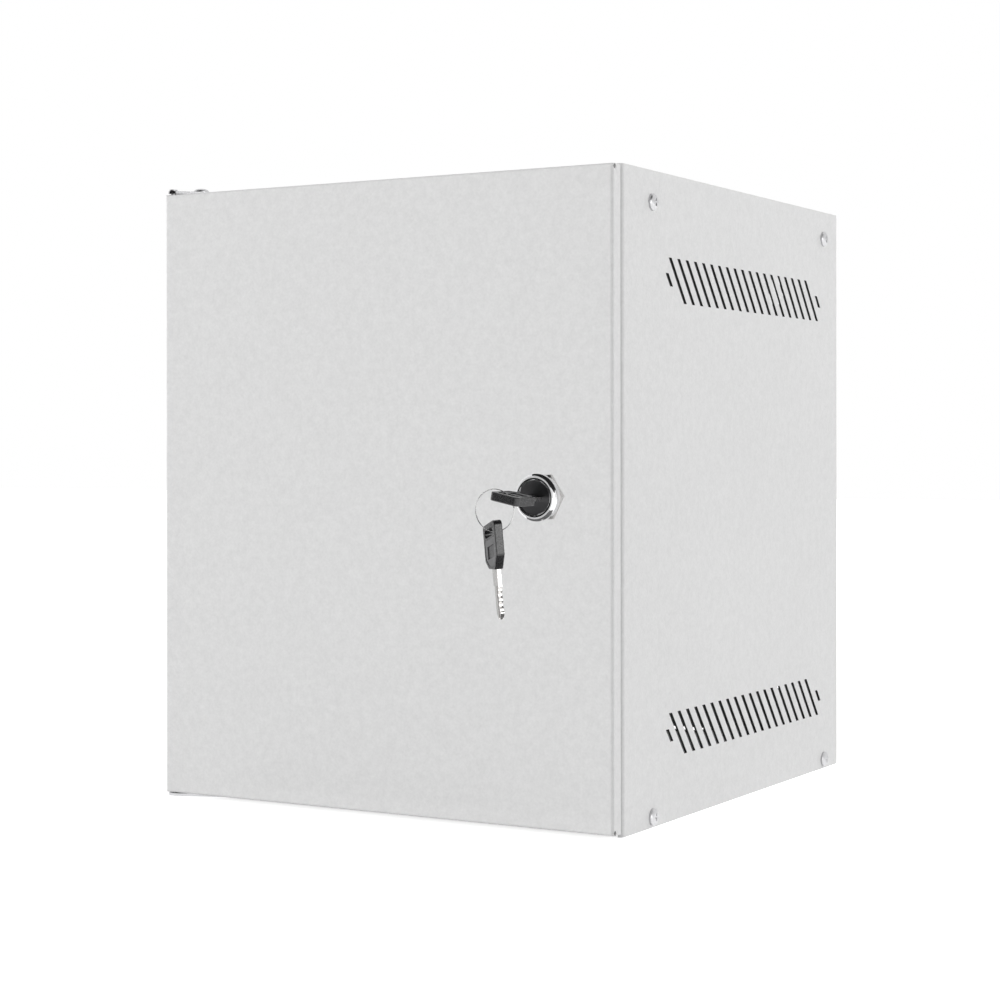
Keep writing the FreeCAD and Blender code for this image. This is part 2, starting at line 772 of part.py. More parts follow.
def upper_hinge_pin():
    top = ceiling_top_z + hinge_plate
    low = door_high_z - pin_engagement
    pin = cylinder(hinge_pin_r, top - low, V(pin_x, pin_y, low))
    return pin.fuse(cylinder(pin_head_r, pin_head_h, V(pin_x, pin_y, top)))


def lower_hinge_pin():
    length = door_low_z + pin_engagement - lower_plate_z
    return cylinder(hinge_pin_r, length, V(pin_x, pin_y, lower_plate_z))


def upper_hinge_screws():
    z = ceiling_top_z + hinge_plate
    return [pan_screw(V(x, y, z), Z_AXIS) for x, y in upper_screw_places()]


def lower_hinge_screws():
    return [countersunk_screw(V(x, y, lower_plate_z), DOWN) for x, y in lower_screw_places()]


def hinge_nuts():
    nuts = [press_nut(V(x, y, ceiling_z), DOWN) for x, y in upper_screw_places()]
    nuts += [press_nut(V(x, y, skirt_end_z + sheet), Z_AXIS) for x, y in lower_screw_places()]
    return nuts


def hinge_block(skin_z, direction):
    """A bearing block in the door's corner, rounded where the door's bends pass it."""
    left = -half_width + door_sheet + seat_gap
    near = door_inner_y + seat_gap
    low, high = sorted((skin_z, skin_z + direction * hinge_block_height))
    block = box(left, left + hinge_block_width, near, near + hinge_block_depth, low, high)
    upright = [edge for edge in block.Edges if edge.BoundBox.ZLength > edge.BoundBox.XLength
               and edge.BoundBox.ZLength > edge.BoundBox.YLength]
    along_bend = [edge for edge in block.Edges if edge.BoundBox.XLength > edge.BoundBox.YLength
                  and abs(edge.CenterOfMass.z - skin_z) < seat_gap]
    block = block.makeFillet(door_bend + seat_gap, upright + along_bend)
    bore = drill(hinge_pin_r + hinge_running, V(pin_x, pin_y, (low + high) / 2), Z_AXIS)
    return block.cut(bore)


def door_buffers():
    """Rubber stops between the right front flange and the door's inner skin."""
    length = front_y - door_inner_y - buffer_gap
    return [cylinder(buffer_r, length, V(half_width - buffer_inset, front_y, z), TO_FRONT)
            for z in (-buffer_z, buffer_z)]


# ------------------------------------------------------------------------ door
def door_panel():
    """A pan: a face with four returns, open at the corner reliefs."""
    upright = [(-half_width, door_rear_y), (-half_width, door_face_y),
               (half_width, door_face_y), (half_width, door_rear_y)]
    pan = folded_sheet(upright, door_sheet, door_bend,
                       lambda u, v: V(u, v, door_low_z + door_corner_r),
                       V(0, 0, door_high_z - door_low_z - 2 * door_corner_r))
    across = [(door_rear_y, door_high_z), (door_face_y, door_high_z),
              (door_face_y, door_low_z), (door_rear_y, door_low_z)]
    returns = folded_sheet(across, door_sheet, door_bend,
                           lambda u, v: V(-half_width + door_corner_r, u, v),
                           V(2 * (half_width - door_corner_r), 0, 0))
    upper = door_corner()
    lower = upper.mirror(V(0, 0, (door_low_z + door_high_z) / 2), Z_AXIS)
    corners = [upper, lower, mirrored(upper), mirrored(lower)]
    return pan.fuse([returns] + corners).cut(door_cutters())


def door_corner():
    """The top return carried to the corner over the end of the left return."""
    inner_x = -half_width + door_corner_r
    low_z = door_high_z - door_corner_r
    block = box(-half_width, inner_x, door_face_y, door_rear_y, low_z, door_high_z)
    rounded = [edge for edge in block.Edges
               if abs(edge.CenterOfMass.y - door_face_y) < seat_gap and
               (abs(edge.CenterOfMass.z - door_high_z) < seat_gap or
                abs(edge.CenterOfMass.x + half_width) < seat_gap)]
    block = block.makeFillet(door_corner_r - seat_gap, rounded)
    hollow = box(-half_width + door_sheet, inner_x, door_inner_y, door_rear_y,
                 low_z, door_high_z - door_sheet)
    return block.cut(hollow)


def door_cutters():
    """Corner reliefs, the hinge pins' holes and the lock's hole."""
    cutters = [drill(barrel_r + seat_gap, V(lock_x, door_face_y, lock_z), Y_AXIS)]
    relief_y = door_face_y + corner_hole_depth
    for z in (door_low_z, door_high_z):
        cutters.append(drill(hinge_pin_r + hinge_running, V(pin_x, pin_y, z), Z_AXIS))
    for z in (door_low_z + corner_hole_inset, door_high_z - corner_hole_inset):
        for x in (-half_width, half_width):
            cutters.append(drill(corner_hole_r, V(x, relief_y, z), X_AXIS))
    return cutters


# -------------------------------------------------------------------- cam lock
def on_door(shape):
    """Stand a piece that was drawn along +Z on the door's face, about the lock's axis."""
    return oriented(shape, V(lock_x, door_face_y, lock_z), TO_FRONT)


def lock_collar():
    """The hexagonal collar on the door's face, its front corners turned off."""
    corner_r = collar_flats / math.sqrt(3) + seat_gap
    blank = turned([(0, 0, 0), (corner_r, 0, 0), (corner_r, collar_h - collar_chamfer, 0),
                    (collar_flats / 2 - collar_face_inset, collar_h, 0), (0, collar_h, 0)])
    bore = drill(barrel_r + seat_gap, V(0, 0, 0), Z_AXIS)
    return on_door(hexagon(collar_flats, collar_h, collar_turn).common(blank).cut(bore))


def lock_housing():
    """Domed bezel and threaded barrel in one turned piece."""
    rear = door_face_y - barrel_rear_y
    front = collar_h + bezel_h
    bore_r = plug_r + plug_gap
    mouth_r = bezel_mouth_r + plug_gap
    mouth_floor = front - plug_sink - plug_face_h - plug_gap
    return on_door(turned([(bore_r, rear, 0), (barrel_r, rear, 0), (barrel_r, collar_h, 0),
                           (bezel_r, collar_h, 0), (bezel_r, collar_h + bezel_rim, bezel_bulge),
                           (bezel_mouth_r + bezel_lip, front, 0), (mouth_r, front, 0),
                           (mouth_r, mouth_floor, 0), (bore_r, mouth_floor, 0)]))


def lock_nut():
    nut = hexagon(collar_flats, lock_nut_h).cut(drill(barrel_r + seat_gap, V(0, 0, 0), Z_AXIS))
    return oriented(nut, V(lock_x, door_inner_y, lock_z), Y_AXIS)


def rolled(shape):
    """Turn a piece about the lock's axis to where the key was left."""
    placed = shape.copy()
    placed.rotate(V(lock_x, 0, lock_z), TO_FRONT, key_roll)
    return placed


def lock_plug():
    """The turning core: a round face, a stem with the keyway, and a square end for the cam."""
    front = door_face_y - plug_front_y
    back = front - plug_face_h
    stem_rear_y = barrel_rear_y + plug_overhang
    rear = door_face_y - stem_rear_y
    rim = plug_face_r - plug_face_edge
    plug = on_door(turned([(0, rear, 0), (plug_r, rear, 0), (plug_r, back, 0), (plug_face_r, back, 0),
                           (plug_face_r, front - plug_face_edge, 0), (rim, front, 0), (0, front, 0)]))
    square_end_y = cam_rear_y + cam_square_end
    square = bar_along_y(lock_x, lock_z, cam_square / 2, cam_square / 2,
                         stem_rear_y - cam_square_start, square_end_y)
    keyway = bar_along_y(lock_x + blade_x, lock_z, blade_half + blade_gap, blade_thick / 2 + blade_gap,
                         plug_front_y - through, neck_y + blade_length + key_stop)
    tapping = cylinder(cam_screw_r + thread_gap, cam_screw_length, V(lock_x, square_end_y, lock_z), TO_FRONT)
    return plug.fuse(square).cut([rolled(keyway), tapping])


def lock_cam():
    """The latch plate, hanging down while unlocked."""
    half = cam_width / 2
    head = half - cam_head_corner
    tip = half - cam_tip_flat / 2
    low = lock_z - cam_reach
    corners = [(-half, lock_z + half, head), (-half, low, tip), (half, low, tip), (half, lock_z + half, head)]
    cam = prism([(V(lock_x + x, cam_front_y, z), radius) for x, z, radius in corners],
                V(0, cam_plate, 0))
    grip = cam_square / 2 + seat_gap
    return cam.cut(bar_along_y(lock_x, lock_z, grip, grip, cam_front_y - through, cam_rear_y + through))


def cam_screw():
    """The screw that holds the cam on its square."""
    bulge = cam_head_edge * (1 - math.sqrt(0.5))
    head = turned([(0, 0, 0), (cam_head_r, 0, 0), (cam_head_r, cam_head_h - cam_head_edge, bulge),
                   (cam_head_r - cam_head_edge, cam_head_h, 0), (0, cam_head_h, 0)])
    shank = cylinder(cam_screw_r, cam_screw_length, V(0, 0, 0), DOWN)
    screw = head.fuse(shank).cut(cross_recess(cam_head_h))
    return oriented(screw, V(lock_x, cam_rear_y + cam_square_end, lock_z), Y_AXIS)


# ------------------------------------------------------------------------ keys
def skewed(x, y):
    """A point of the key, moved along the bow with the slant of its end."""
    return V(x, y - bow_skew * x / bow_width, 0)


def slab(points, radius, low, high):
    """A plate with rounded corners between two levels of z."""
    solid = plate(points, radius, V(0, 0, high - low))
    solid.translate(V(0, 0, low))
    return solid


def key_bow():
    """The moulded bow in the key's own frame: neck at y = 0, blade along +Y, faces at +-Z."""
    top = bow_thick / 2
    neck = [(V(-bow_neck_half, 0, 0), bow_neck_round), (V(bow_neck_half, 0, 0), bow_neck_round)]
    sides = [(skewed(bow_half, bow_shoulder_y), bow_shoulder_round),
             (skewed(bow_half, bow_end_y), bow_end_round),
             (skewed(-bow_half, bow_end_y), bow_end_round),
             (skewed(-bow_half, bow_shoulder_y), bow_shoulder_round)]
    bow = prism(neck + sides, V(0, 0, bow_thick))
    bow.translate(V(0, 0, -top))
    rims = [edge for edge in bow.Edges if abs(abs(edge.CenterOfMass.z) - top) < seat_gap
            and abs(edge.tangentAt(edge.FirstParameter).z) < seat_gap]
    bow = bow.makeFillet(bow_edge, rims)
    pressed = bow_face()
    pressed += [cutter.mirror(V(0, 0, 0), Z_AXIS) for cutter in pressed]
    socket = box(blade_x - blade_half - collar_step, blade_x + blade_half,
                 -blade_in_bow, through, -blade_thick / 2, blade_thick / 2)
    return bow.cut(bow_eye() + pressed + [socket])


def bow_eye():
    """The slanted slot near the bow's end."""
    left, right = skewed(-eye_x, eye_y), skewed(eye_x, eye_y)
    along = (right - left).normalize()
    across = V(-along.y, along.x, 0) * eye_r
    middle = slab([left + across, right + across, right - across, left - across], 0.0,
                  -bow_thick, bow_thick)
    return [middle] + [drill(eye_r, point, Z_AXIS) for point in (left, right)]


def bow_face():
    """What is sunk into one face: a ribbed field and a slanted badge within it."""
    half = bow_half - field_margin
    neck = bow_neck_half - field_neck_inset
    shoulder_y = bow_shoulder_y - field_shoulder
    floor = bow_thick / 2 - field_depth
    corners = [V(-neck, -field_from_neck, 0), V(neck, -field_from_neck, 0), skewed(half, shoulder_y),
               skewed(half, field_y), skewed(-half, field_y), skewed(-half, shoulder_y)]
    field = slab(corners, field_round, floor, bow_thick)
    half_badge = badge_width / 2
    low, high = -badge_from_neck - badge_height / 2, -badge_from_neck + badge_height / 2
    badge = slab([skewed(-half_badge, low), skewed(half_badge, low),
                  skewed(half_badge, high), skewed(-half_badge, high)],
                 badge_round, floor - badge_depth, bow_thick)
    ribs = []
    for number in range(rib_count):
        for x in (-half, half):
            y = skewed(x, field_y + rib_start + number * rib_pitch).y
            ribs.append(box(x - rib_run, x + rib_run, y, y + rib_width, floor, bow_thick))
    return [field, badge] + ribs


def key_blade():
    """The milled blade in the key's own frame: a plain shank, then a grooved and bitted part."""
    low, high = blade_x - blade_half, blade_x + blade_half
    tip = blade_length
    face = blade_thick / 2
    corners = [V(low - collar_step, -blade_in_bow, 0), V(high, -blade_in_bow, 0),
               V(high, tip - blade_tip, 0), V(high - blade_tip_slope, tip, 0),
               V(low + blade_tip_slope, tip, 0), V(low, tip - blade_tip, 0),
               V(low, collar_length, 0), V(low - collar_step, collar_length, 0)]
    blade = slab(corners, 0.0, -face, face)
    cutters = []
    for number, depth in enumerate(bit_depths):
        y = bit_start + number * bit_pitch
        run = bit_flat + depth + through
        notch = [V(high + through, y - run, 0), V(high - depth, y - bit_flat, 0),
                 V(high - depth, y + bit_flat, 0), V(high + through, y + run, 0)]
        cutters.append(slab(notch, 0.0, -blade_thick, blade_thick))
    left = blade_x + groove_from_middle
    for side in (-1, 1):
        levels = sorted((side * (face - groove_depth), side * blade_thick))
        cutters.append(box(left, left + groove_width, collar_length, tip + through, *levels))
    return blade.cut(cutters)


def in_lock(shape):
    """Put a piece of the key in the lock, rolled as it was left."""
    placed = shape.copy()
    placed.translate(V(lock_x, neck_y, lock_z))
    return rolled(placed)


def rim_middle():
    """The middle of the bow's side rim, where the ring hangs."""
    local = V(-bow_half + eye_side_rim / 2, -ring_along_bow, 0)
    turn = FreeCAD.Rotation(TO_FRONT, key_roll)
    return turn.multVec(local) + V(lock_x, neck_y, lock_z)


def ring_centre():
    return rim_middle() + Z_AXIS * (ring_pivot_drop - ring_r)


def key_ring():
    normal = FreeCAD.Rotation(Z_AXIS, ring_yaw).multVec(TO_FRONT)
    return Part.makeTorus(ring_r, ring_wire_r, ring_centre(), normal)


def on_ring(shape):
    """Hang a piece of the spare key on the ring's lowest point, bow up."""
    hook = skewed(spare_hook_x, bow_end_y + eye_end_rim / 2)
    across = FreeCAD.Rotation(Z_AXIS, spare_yaw).multVec(X_AXIS)
    lean_axis = FreeCAD.Rotation(Z_AXIS, spare_lean_yaw).multVec(Y_AXIS)
    turn = FreeCAD.Rotation(across, DOWN, across.cross(DOWN), "XYZ")
    wire = ring_centre() + DOWN * ring_r
    placed = shape.copy()
    placed.translate(hook * -1)
    placed.Placement = FreeCAD.Placement(wire + Z_AXIS * spare_rim_rise, turn).multiply(placed.Placement)
    placed.rotate(wire, lean_axis, -spare_lean)
    return placed


# ----------------------------------------------------------------------- build
def build():
    os.makedirs("parts", exist_ok=True)
    right_panel = right_side_panel()
    rail = right_rail()
    bow = key_bow()
    blade = key_blade()
    nodes = {
        "top_panel": top_panel(),
        "bottom_panel": bottom_panel(),
        "left_side_panel": mirrored(right_panel),
        "right_side_panel": right_panel,
        "rear_panel": rear_panel(),
        "left_rail": mirrored(rail),
        "right_rail": rail,
        "rail_studs": rail_studs(),
        "rail_nuts": rail_nuts(),
        "earth_stud": earth_stud(),
        "earth_nut": earth_nut(),
        "left_side_screws": side_screws(-1),
        "right_side_screws": side_screws(1),
        "side_screw_nuts": side_nuts(),
        "rear_panel_screws": rear_screws(),
        "rear_panel_nuts": rear_nuts(),
        "top_cable_trim": cover_trim(ceiling_top_z),
        "bottom_cable_trim": cover_trim(floor_z),
        "rear_cable_trim": rear_trim(),
        "upper_hinge_bracket": upper_hinge_bracket(),
        "lower_hinge_bracket": lower_hinge_bracket(),
        "upper_hinge_pin": upper_hinge_pin(),
        "lower_hinge_pin": lower_hinge_pin(),
        "upper_hinge_screws": upper_hinge_screws(),
        "lower_hinge_screws": lower_hinge_screws(),
        "hinge_nuts": hinge_nuts(),
        "door_buffers": door_buffers(),
        "door_panel": door_panel(),
        "upper_hinge_block": hinge_block(door_high_z - door_sheet, -1),
        "lower_hinge_block": hinge_block(door_low_z + door_sheet, 1),
        "lock_collar": lock_collar(),
        "lock_housing": lock_housing(),
        "lock_nut": lock_nut(),
        "lock_plug": lock_plug(),
        "lock_cam": lock_cam(),
        "cam_screw": cam_screw(),
        "key_bow": in_lock(bow),
        "key_blade": in_lock(blade),
        "key_ring": key_ring(),
        "spare_key_bow": on_ring(bow),
        "spare_key_blade": on_ring(blade),
    }
    for node, shapes in nodes.items():
        save(node, shapes)


build()
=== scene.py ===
import json
import math

import bmesh
import bpy
from mathutils import Matrix, Vector

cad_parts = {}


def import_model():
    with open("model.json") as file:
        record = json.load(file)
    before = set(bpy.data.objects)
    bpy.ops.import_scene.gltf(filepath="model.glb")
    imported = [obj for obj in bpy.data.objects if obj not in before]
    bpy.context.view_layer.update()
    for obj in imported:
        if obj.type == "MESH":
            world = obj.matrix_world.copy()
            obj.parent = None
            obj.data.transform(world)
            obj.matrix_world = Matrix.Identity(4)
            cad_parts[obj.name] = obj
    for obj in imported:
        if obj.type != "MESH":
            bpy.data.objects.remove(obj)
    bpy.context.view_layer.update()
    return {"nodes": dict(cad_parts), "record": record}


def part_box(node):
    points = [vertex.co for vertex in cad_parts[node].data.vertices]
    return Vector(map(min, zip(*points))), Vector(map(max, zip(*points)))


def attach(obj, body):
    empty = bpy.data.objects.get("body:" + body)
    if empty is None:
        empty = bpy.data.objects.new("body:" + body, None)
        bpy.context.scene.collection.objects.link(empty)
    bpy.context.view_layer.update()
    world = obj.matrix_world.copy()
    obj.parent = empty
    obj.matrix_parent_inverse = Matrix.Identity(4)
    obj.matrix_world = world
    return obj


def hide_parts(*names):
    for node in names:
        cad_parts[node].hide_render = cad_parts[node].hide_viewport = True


# The dressed cabinet: materials for the CAD solids, the lock's bezel, the split ring, the
# inlays of the key bows, and a plain studio. Lengths are in metres, in the CAD's frame.

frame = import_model()

MM = 0.001
foot_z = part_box("left_side_panel")[0][2]
case_front_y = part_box("left_side_panel")[0][1]

# -------------------------------------------------------------------- studio
AMBIENT = 0.40                 # world light on the object
FLOOR_GLOW = 0.75              # with AMBIENT it whites out the floor, shadow included
FRONT_POWER = 455.0            # watts
SIDE_POWER = 118.0
REAR_POWER = 130.0
STRIP_POWER = 4.0
FLOOR_SIZE = 12.0
CAMERA_LENS = 79.03            # on a sensor 36 wide
CAMERA_SHIFT = (0.0396, -0.0570)
CAMERA_AZIMUTH = 30.55         # degrees round from the door's normal
CAMERA_ROLL = 0.04
CAMERA_X = 0.6287
CAMERA_TO_CASE = 0.9873        # in front of the case
CAMERA_RISE = 0.1978           # above the foot

# --------------------------------------------------------- places, in metres
sheet = 1.2 * MM               # case sheet
skin = 0.05 * MM               # a painted zone stops this far from a face
front_return = 4.0 * MM        # the painted shade inside the case starts this far behind the case front
half_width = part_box("right_side_panel")[1][0]
floor_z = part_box("bottom_panel")[1][2]
ceiling_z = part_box("top_panel")[1][2] - sheet
rear_inner_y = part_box("rear_panel")[1][1] - sheet
door_face_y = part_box("door_panel")[0][1]
lock_low, lock_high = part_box("lock_housing")
lock_x = (lock_low[0] + lock_high[0]) / 2
lock_z = (lock_low[2] + lock_high[2]) / 2
bezel_r = (lock_high[0] - lock_low[0]) / 2
bezel_front = door_face_y - lock_low[1]
barrel_rear = door_face_y - lock_high[1]
collar_h = door_face_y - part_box("lock_collar")[0][1]
plug_front = door_face_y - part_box("lock_plug")[0][1]
plug_r = (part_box("lock_plug")[1][0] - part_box("lock_plug")[0][0]) / 2
neck_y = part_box("key_bow")[1][1]

# ------------------------------------------------------------------ colours
# Linear values.
WHITE = (1.0, 1.0, 1.0, 1.0)
FLOOR_WHITE = (0.8, 0.8, 0.8, 1.0)
COAT = (0.716, 0.716, 0.716)          # light neutral grey, 220 in sRGB
INSIDE_PAINTED_SHADE = (0.33, 0.33, 0.33)       # painted shade inside the case, darker than the coat outside; its level a guess
VENT_WALL_SHADE = (0.05, 0.05, 0.05)         # painted shade on the walls of the vents, for the look alone
ZINC = (0.60, 0.60, 0.61)
NICKEL = (0.66, 0.65, 0.64)
CHROME = (0.80, 0.80, 0.81)
DARK_CHROME = (0.11, 0.11, 0.114)
BLADE = (0.62, 0.61, 0.60)
WIRE = (0.70, 0.70, 0.70)
KEY_BLACK = (0.010, 0.010, 0.011)
FIELD_GREY = (0.150, 0.150, 0.152)
TRIM_BLACK = (0.022, 0.022, 0.022)
RUBBER = (0.020, 0.020, 0.020)
CARD_BLACK = 0.01
CARD_GREY = 0.2

# ------------------------------------------------------- grain of the materials
# Noise scales are per metre, depths in metres, tints a share of the colour.
NOISE_LOW, NOISE_HIGH = 0.3, 0.7          # where most of a noise's values lie
PEEL_FINE, PEEL_COARSE, PEEL_DRIFT = 700.0, 260.0, 9.0
PEEL_DEPTH = 0.00025
PEEL_STRENGTH = 0.5
COAT_ROUGHNESS = (0.46, 0.54)
COAT_SPECULAR = 0.35
METAL_CLOUD, PLASTIC_CLOUD = 60.0, 120.0
METAL_DEPTH, PLASTIC_DEPTH = 0.00003, 0.00005
FINE_TINT, PLASTIC_TINT = (0.94, 1.05), (0.85, 1.2)
PLASTIC_SPREAD = 0.06
SHARP_EDGE = math.radians(32)


# ----------------------------------------------------------- material helpers
def new_material(name):
    """A material, its Principled shader, and the two functions that build its nodes."""
    material = bpy.data.materials.new(name)
    material.use_nodes = True
    tree = material.node_tree
    shader = tree.nodes["Principled BSDF"]
    add, join = node_tools(tree)
    return material, shader, add, join


def node_tools(tree):
    """Functions that add a node with its inputs set or linked, and that link two sockets."""
    def add(kind, inputs=None, **settings):
        node = tree.nodes.new(kind)
        for key, value in settings.items():
            setattr(node, key, value)
        for key, value in (inputs or {}).items():
            if isinstance(value, bpy.types.NodeSocket):
                tree.links.new(value, node.inputs[key])
            else:
                node.inputs[key].default_value = value
        return node

    def join(source, target):
        tree.links.new(source, target)

    return add, join


def noise(add, coordinates, scale, detail=3.0, roughness=0.5):
    inputs = {"Vector": coordinates, "Scale": scale, "Detail": detail, "Roughness": roughness}
    return add("ShaderNodeTexNoise", inputs).outputs["Fac"]


def spread(add, value, low, high):
    """Map the middle range of a noise onto low..high."""
    inputs = {"Value": value, "From Min": NOISE_LOW, "From Max": NOISE_HIGH,
              "To Min": low, "To Max": high}
    return add("ShaderNodeMapRange", inputs).outputs["Result"]


def tinted(add, value, colour, low, high):
    """The colour, made darker or lighter between low and high by a noise."""
    level = spread(add, value, low, high)
    shade = add("ShaderNodeVectorMath", {0: colour, "Scale": level}, operation="SCALE")
    return shade.outputs["Vector"]


def bump(add, join, shader, height, strength, distance):
    node = add("ShaderNodeBump", {"Height": height, "Strength": strength, "Distance": distance})
    join(node.outputs["Normal"], shader.inputs["Normal"])


def within_box(add, where, low, high):
    """1 where the point lies between two corners, else 0."""
    middle, half = (low + high) / 2, (high - low) / 2
    offset = add("ShaderNodeVectorMath", {0: where, 1: middle}, operation="SUBTRACT").outputs[0]
    distance = add("ShaderNodeVectorMath", {0: offset}, operation="ABSOLUTE").outputs[0]
    axes = add("ShaderNodeSeparateXYZ", {0: distance}).outputs
    within = [add("ShaderNodeMath", {0: axes[i], 1: half[i]}, operation="LESS_THAN").outputs[0]
              for i in range(3)]
    both = add("ShaderNodeMath", {0: within[0], 1: within[1]}, operation="MULTIPLY").outputs[0]
    return add("ShaderNodeMath", {0: both, 1: within[2]}, operation="MULTIPLY").outputs[0]


def case_space(side_skin):
    """Two corners of the space inside the case, out to side_skin at its sides."""
    front_y = case_front_y + front_return
    low = Vector((-side_skin, front_y, floor_z - skin))
    return low, Vector((side_skin, rear_inner_y + skin, ceiling_z + skin))


def painted(add, below, mask, colour):
    """A colour over the one below, where the mask is 1."""
    inputs = {"Factor": mask, 6: below, 7: (*colour, 1.0)}
    return add("ShaderNodeMix", inputs, data_type="RGBA").outputs[2]


def powder_coat():
    """Semi-matt light grey with a fine orange peel, with painted shade inside the case and on the
    walls of the vents.
    """
    material, shader, add, join = new_material("powder_coat")
    where = add("ShaderNodeTexCoord").outputs["Object"]
    fine = noise(add, where, PEEL_FINE, 2.0)
    coarse = noise(add, where, PEEL_COARSE, 2.0)
    both = add("ShaderNodeMath", {0: fine, 1: coarse}, operation="ADD").outputs[0]
    peel = add("ShaderNodeMath", {0: both, 1: 0.5}, operation="MULTIPLY").outputs[0]
    drift = noise(add, where, PEEL_DRIFT, 2.0)
    # painted shade: the walls of the vents, within the side sheets, are made near-black
    vent_shade_mask = within_box(add, where, *case_space(half_width - skin))
    # painted shade: everything inside the case, behind the sheet, is made darker than the coat
    inside_shade_mask = within_box(add, where, *case_space(half_width - sheet + skin))
    coat_with_vent_shade = painted(add, (*COAT, 1.0), vent_shade_mask, VENT_WALL_SHADE)
    coat_with_painted_shade = painted(add, coat_with_vent_shade, inside_shade_mask, INSIDE_PAINTED_SHADE)
    join(tinted(add, peel, coat_with_painted_shade, *FINE_TINT), shader.inputs["Base Color"])
    join(spread(add, drift, *COAT_ROUGHNESS), shader.inputs["Roughness"])
    shader.inputs["Specular IOR Level"].default_value = COAT_SPECULAR
    bump(add, join, shader, peel, PEEL_STRENGTH, PEEL_DEPTH)
    return material


def metal(name, colour, roughness, grain=900.0, strength=0.1, spread_of=0.05):
    """A metal with a little unevenness in its shine."""
    material, shader, add, join = new_material(name)
    where = add("ShaderNodeTexCoord").outputs["Object"]
    grit = noise(add, where, grain, 3.0)
    cloud = noise(add, where, METAL_CLOUD, 3.0)
    shine = spread(add, grit, roughness - spread_of, roughness + spread_of)
    join(tinted(add, cloud, colour, *FINE_TINT), shader.inputs["Base Color"])
    join(shine, shader.inputs["Roughness"])
    shader.inputs["Metallic"].default_value = 1.0
    bump(add, join, shader, grit, strength, METAL_DEPTH)
    return material


def plastic(name, colour, roughness, grain=1400.0, strength=0.25, specular=0.5):
    """Moulded plastic or rubber with a fine grain."""
    material, shader, add, join = new_material(name)
    where = add("ShaderNodeTexCoord").outputs["Object"]
    grit = noise(add, where, grain, 2.0)
    cloud = noise(add, where, PLASTIC_CLOUD, 2.0)
    shine = spread(add, grit, roughness - PLASTIC_SPREAD, roughness + PLASTIC_SPREAD)
    join(tinted(add, cloud, colour, *PLASTIC_TINT), shader.inputs["Base Color"])
    join(shine, shader.inputs["Roughness"])
    shader.inputs["Specular IOR Level"].default_value = specular
    bump(add, join, shader, grit, strength, PLASTIC_DEPTH)
    return material


MATERIALS = {
    "powder_coat": powder_coat(),
    "zinc_fastener": metal("zinc_fastener", ZINC, 0.32),
    "bright_zinc": metal("bright_zinc", ZINC, 0.16, spread_of=0.03),
    "rail_zinc": metal("rail_zinc", ZINC, 0.38),
    "satin_nickel": metal("satin_nickel", NICKEL, 0.36),
    "chrome_bezel": metal("chrome_bezel", CHROME, 0.09, strength=0.02, spread_of=0.02),
    "dark_plug": metal("dark_plug", DARK_CHROME, 0.40, strength=0.15),
    "bright_edge": metal("bright_edge", CHROME, 0.12, strength=0.02, spread_of=0.02),
    "key_nickel": metal("key_nickel", BLADE, 0.24),
    "ring_steel": metal("ring_steel", WIRE, 0.18, spread_of=0.03),
    "key_plastic": plastic("key_plastic", KEY_BLACK, 0.27, strength=0.12, specular=0.9),
    "key_field": plastic("key_field", FIELD_GREY, 0.75, grain=2600.0, strength=0.6),
    "black_trim": plastic("black_trim", TRIM_BLACK, 0.55),
    "black_rubber": plastic("black_rubber", RUBBER, 0.7),
}
# The brackets look like bare zinc, although their slot is powder_coat.
BARE_METAL = {"upper_hinge_bracket": "bright_zinc", "lower_hinge_bracket": "bright_zinc"}


def dress_cad_nodes():
    """Give each CAD node the material of its slot, or the one that BARE_METAL names."""
    slots = {part["node"]: part["material_slot"] for part in frame["record"]["subparts"]}
    for name, node in frame["nodes"].items():
        node.data.materials.clear()
        node.data.materials.append(MATERIALS[BARE_METAL.get(name, slots[name])])


# --------------------------------------------------------------- mesh helpers
def finish_piece(name, mesh_edit, material, body):
    """Make a smooth-shaded piece of an edited mesh, sharp only at its real edges."""
    bmesh.ops.recalc_face_normals(mesh_edit, faces=mesh_edit.faces)
    for face in mesh_edit.faces:
        face.smooth = True
    for edge in mesh_edit.edges:
        edge.smooth = edge.is_manifold and edge.calc_face_angle() < SHARP_EDGE
    mesh = bpy.data.meshes.new(name)
    mesh_edit.to_mesh(mesh)
    mesh_edit.free()
    piece = bpy.data.objects.new(name, mesh)
    bpy.context.collection.objects.link(piece)
    mesh.materials.append(MATERIALS[material])
    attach(piece, body)
    return piece


def lathe(profile, place, segments=96):
    """Turn a closed profile of (radius, height) points about the local Z axis."""
    mesh_edit = bmesh.new()
    rings = []
    for number in range(segments):
        angle = 2 * math.pi * number / segments
        rings.append([mesh_edit.verts.new(place @ Vector((radius * math.cos(angle),
                                                          radius * math.sin(angle), height)))
                      for radius, height in profile])
    for number, ring in enumerate(rings):
        after = rings[(number + 1) % segments]
        for i in range(len(profile)):
            j = (i + 1) % len(profile)
            mesh_edit.faces.new((ring[i], after[i], after[j], ring[j]))
    return mesh_edit


def arched(start, end, rise, steps=10):
    """Points of a shallow arch from start up to end, both (radius, height)."""
    run = Vector(end) - Vector(start)
    across = Vector((-run.y, run.x)).normalized()
    places = [step / steps for step in range(steps)]
    return [tuple(Vector(start) + run * t + across * rise * 4 * t * (1 - t)) for t in places]


